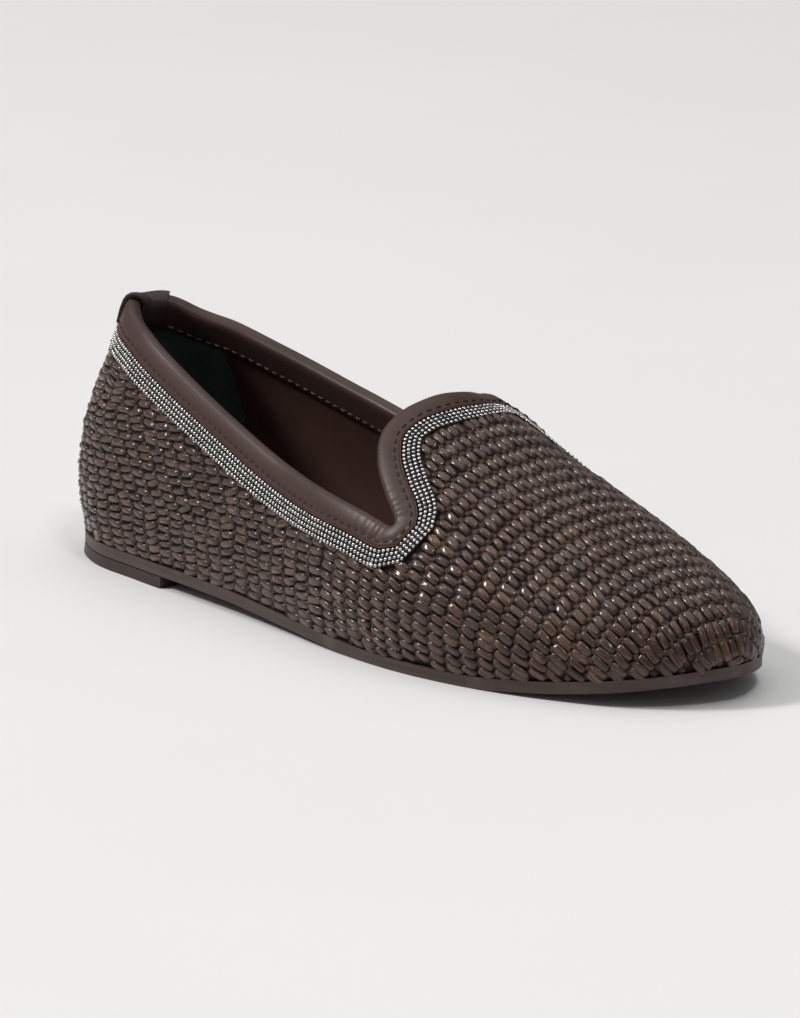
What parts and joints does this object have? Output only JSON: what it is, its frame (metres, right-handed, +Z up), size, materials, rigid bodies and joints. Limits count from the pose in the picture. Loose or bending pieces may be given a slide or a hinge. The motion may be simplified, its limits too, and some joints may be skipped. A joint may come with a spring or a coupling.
{
  "type": "raffia slipper",
  "caption": "Slip-on slipper for the right foot with a woven raffia upper, rounded tongue, leather-bound collar with a bead trim, thin arched sole and low heel.",
  "frame": {"origin": "On the floor under the centre of the bounding box.", "axes": "+X runs from the heel to the toe, +Y to the inner side of the right foot, +Z up."},
  "size_m": [0.2514, 0.0848, 0.0746],
  "materials": {
    "raffia": "dark brown woven raffia with glossy strands",
    "leather": "smooth taupe-brown binding leather with a soft shine",
    "beads": "bright silver ball chain on a dark ground",
    "lining": "dark brown lining leather",
    "sole": "smooth grey-brown burnished edge",
    "heel_stack": "smooth grey-brown burnished edge"
  },
  "bodies": {
    "root": {"upper": "raffia", "topline_binding": "leather", "bead_trim": "beads", "back_tab": "leather", "insole": "lining", "outsole": "sole", "heel": "heel_stack"}
  },
  "joints": []
}
